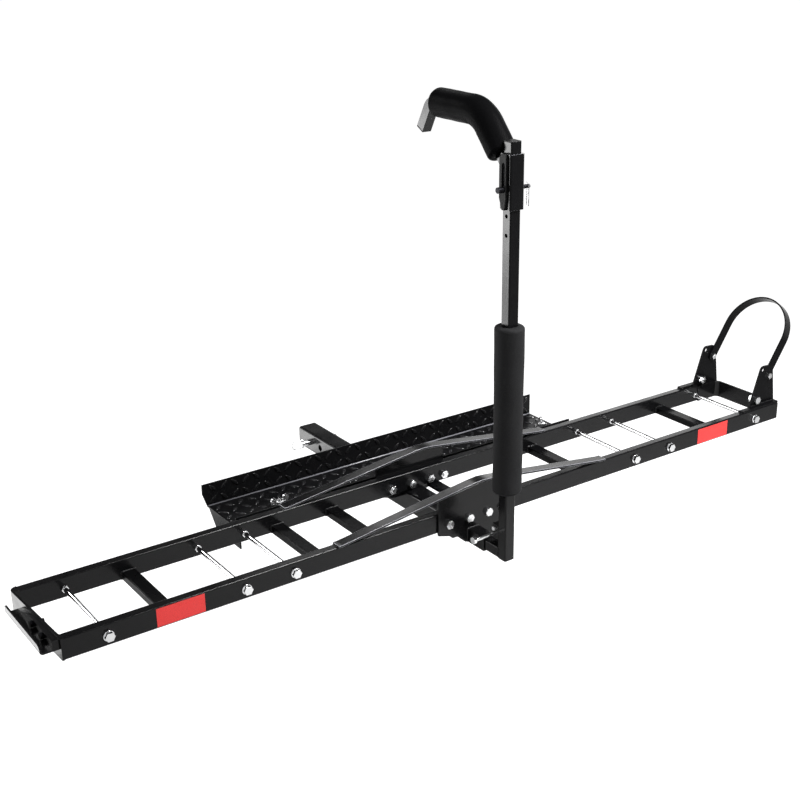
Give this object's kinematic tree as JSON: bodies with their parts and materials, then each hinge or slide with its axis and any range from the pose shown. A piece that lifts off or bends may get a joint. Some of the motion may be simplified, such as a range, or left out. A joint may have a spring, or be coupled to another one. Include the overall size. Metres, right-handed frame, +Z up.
{
  "type": "hitch motorcycle carrier",
  "caption": "Hitch-mounted motorcycle carrier: open wheel tray with a wheel hoop, a padded stabiliser mast with a sliding arm, and a folded loading ramp stored behind the tray.",
  "frame": {"origin": "centre of the free pin hole in the hitch shank, on the shank's axis", "axes": "+X along the tray towards the wheel hoop, +Y along the shank towards the vehicle, +Z up"},
  "size_m": [2.0308, 0.8425, 0.998],
  "materials": {
    "powder_black": "satin black powder coat",
    "zinc": "bright zinc plate",
    "foam": "matte foam",
    "tape": "reflective tape",
    "cap_plastic": "fine-grained black plastic"
  },
  "bodies": {
    "carrier": {"front_rail": "powder_black", "rear_rail": "powder_black", "left_end_plate": "powder_black", "right_end_frame": "powder_black", "rail_caps": "cap_plastic", "cross_bars": "powder_black", "cross_bolts": "zinc", "cross_bolt_washers": "zinc", "cross_bolt_nuts": "zinc", "front_gusset": "powder_black", "rear_gusset": "powder_black", "gusset_bolts": "zinc", "gusset_nuts": "zinc", "front_arch": "powder_black", "rear_arch": "powder_black", "hitch_tube": "powder_black", "tube_front_plate": "powder_black", "mast_socket": "powder_black", "hook_bracket": "powder_black", "hook_bolts": "zinc", "reflectors": "tape", "cheek_feet": "powder_black", "front_cheek": "powder_black", "rear_cheek": "powder_black", "cheek_spacers": "zinc", "cheek_bolts": "zinc", "cheek_nuts": "zinc", "hoop_bolts": "zinc", "hoop_nuts": "zinc", "ramp_brackets": "powder_black"},
    "mast": {"mast_post": "powder_black", "mast_leg": "powder_black", "mast_lug": "powder_black", "lug_screw": "zinc", "mast_cap": "cap_plastic", "foam_sleeve": "foam"},
    "head": {"head_sleeve": "powder_black", "latch_plate": "powder_black", "head_arm": "powder_black", "arm_pad": "foam", "arm_cap": "cap_plastic"},
    "head_pin": {"head_pin": "zinc", "head_clip": "zinc"},
    "clamp_bolt": {"clamp_bolt": "zinc"},
    "hitch_pin": {"hitch_pin": "zinc", "hitch_clip": "zinc"},
    "wheel_hoop": {"wheel_hoop": "powder_black"},
    "ramp": {"ramp": "powder_black"},
    "left_wing_nut": {"left_wing_nut": "zinc"},
    "right_wing_nut": {"right_wing_nut": "zinc"}
  },
  "joints": [
    {"name": "mast_slide", "type": "slide", "parent": "carrier", "child": "mast", "axis": [0, -1, 0], "range_m": [0, 0.08]},
    {"name": "head_slide", "type": "slide", "parent": "mast", "child": "head", "axis": [0, 0, -1], "range_m": [0, 0.045]},
    {"name": "head_pin_turn", "type": "hinge", "parent": "mast", "child": "head_pin", "pos_m": [0, -0.7095, 0.773], "axis": [1, 0, 0], "continuous": true},
    {"name": "clamp_bolt_turn", "type": "hinge", "parent": "mast", "child": "clamp_bolt", "pos_m": [0, -0.688, 0.042], "axis": [1, 0, 0], "continuous": true},
    {"name": "hitch_pin_turn", "type": "hinge", "parent": "carrier", "child": "hitch_pin", "pos_m": [0, 0.05, 0], "axis": [1, 0, 0], "continuous": true},
    {"name": "hoop_fold", "type": "hinge", "parent": "carrier", "child": "wheel_hoop", "pos_m": [0.973, -0.475, 0.145], "axis": [0, 1, 0], "range_deg": [-120, 50]},
    {"name": "ramp_lift", "type": "slide", "parent": "carrier", "child": "ramp", "axis": [0, 0, 1], "range_m": [0, 0.08]},
    {"name": "left_wing_turn", "type": "hinge", "parent": "ramp", "child": "left_wing_nut", "pos_m": [-0.2925, -0.275, 0.03], "axis": [0, 0, 1], "continuous": true},
    {"name": "right_wing_turn", "type": "hinge", "parent": "ramp", "child": "right_wing_nut", "pos_m": [0.4655, -0.275, 0.03], "axis": [0, 0, 1], "continuous": true}
  ]
}
